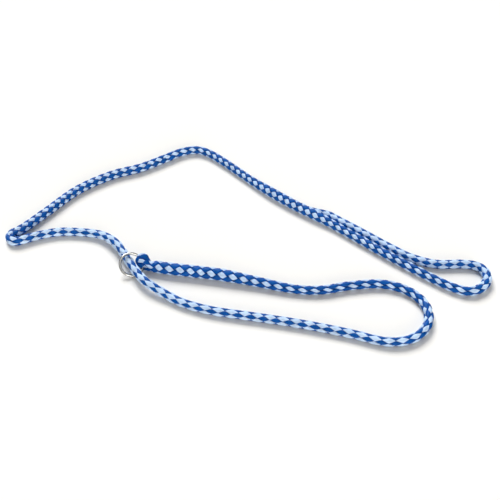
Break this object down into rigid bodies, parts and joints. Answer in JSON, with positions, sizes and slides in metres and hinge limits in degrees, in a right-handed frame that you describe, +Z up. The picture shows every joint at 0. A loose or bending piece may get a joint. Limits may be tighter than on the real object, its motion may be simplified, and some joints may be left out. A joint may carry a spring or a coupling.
{
  "type": "rope halter",
  "caption": "Slip halter of blue and white hollow braided rope: a metal ring in an eye splice makes a running noose, and the lead ends in a spliced hand loop.",
  "frame": {"origin": "on the surface that the halter lies on, under the middle of its whole outline", "axes": "+X along its longest side, from the lead's bend to the hand loop; +Y across it, away from the noose; +Z up"},
  "size_m": [0.6221, 0.4036, 0.0227],
  "materials": {
    "braided_rope": "eight-strand hollow diamond braid of multifilament polypropylene, white strands one way and blue strands the other",
    "plated_ring": "welded round steel wire ring, nickel plated"
  },
  "bodies": {
    "noose_rope": {"noose_leg": "braided_rope", "noose_bight": "braided_rope", "noose_return": "braided_rope", "noose_rise": "braided_rope", "ring_pass": "braided_rope", "lead_first_run": "braided_rope", "lead_bend": "braided_rope"},
    "noose_head": {"ring_eye": "braided_rope", "ring_splice": "braided_rope", "ring_tail": "braided_rope"},
    "ring": {"ring": "plated_ring"},
    "lead": {"lead_second_run": "braided_rope", "lead_shoulder": "braided_rope"},
    "lead_end": {"lead_third_run": "braided_rope", "hand_splice": "braided_rope", "hand_tail": "braided_rope", "hand_loop_neck": "braided_rope"},
    "hand_loop": {"hand_loop": "braided_rope"}
  },
  "joints": [
    {"name": "noose_draw", "type": "slide", "parent": "noose_rope", "child": "noose_head", "axis": [0.4657, -0.8849, 0], "range_m": [-0.03, 0.006], "deforming": ["noose_leg"]},
    {"name": "ring_turn", "type": "hinge", "parent": "noose_head", "child": "ring", "pos_m": [-0.14139, -0.06424, 0.01132], "axis": [0.2738, -0.5201, 0.809], "continuous": true},
    {"name": "lead_fold", "type": "hinge", "parent": "noose_rope", "child": "lead", "pos_m": [-0.294, 0.001, 0.0058], "axis": [0, 0, 1], "range_deg": [-1.5, 60], "deforming": ["lead_bend"]},
    {"name": "lead_sweep", "type": "hinge", "parent": "lead", "child": "lead_end", "pos_m": [-0.072, 0.168, 0.0058], "axis": [0, 0, 1], "range_deg": [-1, 40], "deforming": ["lead_shoulder"]},
    {"name": "hand_loop_swing", "type": "hinge", "parent": "lead_end", "child": "hand_loop", "pos_m": [0.136, 0.012, 0.0058], "axis": [0, 0, 1], "range_deg": [-3, 25], "deforming": ["hand_loop_neck"]}
  ]
}
